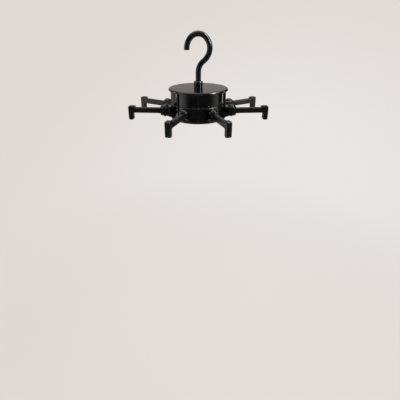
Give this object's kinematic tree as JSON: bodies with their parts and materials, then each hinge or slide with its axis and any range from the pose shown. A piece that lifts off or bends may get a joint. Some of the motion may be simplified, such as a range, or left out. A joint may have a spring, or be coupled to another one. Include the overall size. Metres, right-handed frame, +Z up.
{
  "type": "tie hanger",
  "caption": "Black rotating tie hanger: swivel rod hook over a round hub with a ring of swinging arms, each with a grip strip, raised tip and drop tab.",
  "frame": {"origin": "inside top of the hook's bend, where it bears on a closet rod, on the swivel axis", "axes": "+Z up along the swivel axis, +Y along the closet rod, hook in the XZ plane with its tip towards -X"},
  "size_m": [0.2812, 0.2742, 0.1701],
  "materials": {
    "black_plastic": "gloss",
    "black_steel": "gloss",
    "grip_rubber": "matte",
    "bright_steel": "satin",
    "nylon": "satin"
  },
  "bodies": {
    "hook": {"hook": "black_steel", "stem_collar": "black_plastic", "thrust_washer": "bright_steel", "lock_nut": "bright_steel"},
    "carousel": {"top_cover": "black_plastic", "hub_housing": "black_plastic", "arm_ring": "black_plastic", "bottom_cover": "black_plastic", "upper_bush": "nylon", "lower_bush": "nylon", "hub_screws": "bright_steel", "arm_pins": "black_steel", "pin_clips": "bright_steel"},
    "arm_1": {"arm_1": "black_plastic", "grip_strip_1": "grip_rubber"},
    "arm_2": {"arm_2": "black_plastic", "grip_strip_2": "grip_rubber"},
    "arm_3": {"arm_3": "black_plastic", "grip_strip_3": "grip_rubber"},
    "arm_4": {"arm_4": "black_plastic", "grip_strip_4": "grip_rubber"},
    "arm_5": {"arm_5": "black_plastic", "grip_strip_5": "grip_rubber"},
    "arm_6": {"arm_6": "black_plastic", "grip_strip_6": "grip_rubber"},
    "arm_7": {"arm_7": "black_plastic", "grip_strip_7": "grip_rubber"},
    "arm_8": {"arm_8": "black_plastic", "grip_strip_8": "grip_rubber"}
  },
  "joints": [
    {"name": "carousel_spin", "type": "hinge", "parent": "hook", "child": "carousel", "pos_m": [0, 0, -0.128], "axis": [0, 0, 1], "continuous": true},
    {"name": "arm_1_swing", "type": "hinge", "parent": "carousel", "child": "arm_1", "pos_m": [0.06652, 0.02755, -0.139], "axis": [0, 0, 1], "range_deg": [-38.5, 21.5]},
    {"name": "arm_2_swing", "type": "hinge", "parent": "carousel", "child": "arm_2", "pos_m": [0.02755, 0.06652, -0.139], "axis": [0, 0, 1], "range_deg": [-30, 30]},
    {"name": "arm_3_swing", "type": "hinge", "parent": "carousel", "child": "arm_3", "pos_m": [-0.02755, 0.06652, -0.139], "axis": [0, 0, 1], "range_deg": [-30, 30]},
    {"name": "arm_4_swing", "type": "hinge", "parent": "carousel", "child": "arm_4", "pos_m": [-0.06652, 0.02755, -0.139], "axis": [0, 0, 1], "range_deg": [-21.5, 38.5]},
    {"name": "arm_5_swing", "type": "hinge", "parent": "carousel", "child": "arm_5", "pos_m": [-0.06652, -0.02755, -0.139], "axis": [0, 0, 1], "range_deg": [-4, 56]},
    {"name": "arm_6_swing", "type": "hinge", "parent": "carousel", "child": "arm_6", "pos_m": [-0.02755, -0.06652, -0.139], "axis": [0, 0, 1], "range_deg": [-33.5, 26.5]},
    {"name": "arm_7_swing", "type": "hinge", "parent": "carousel", "child": "arm_7", "pos_m": [0.02755, -0.06652, -0.139], "axis": [0, 0, 1], "range_deg": [-26.5, 33.5]},
    {"name": "arm_8_swing", "type": "hinge", "parent": "carousel", "child": "arm_8", "pos_m": [0.06652, -0.02755, -0.139], "axis": [0, 0, 1], "range_deg": [-56, 4]}
  ]
}
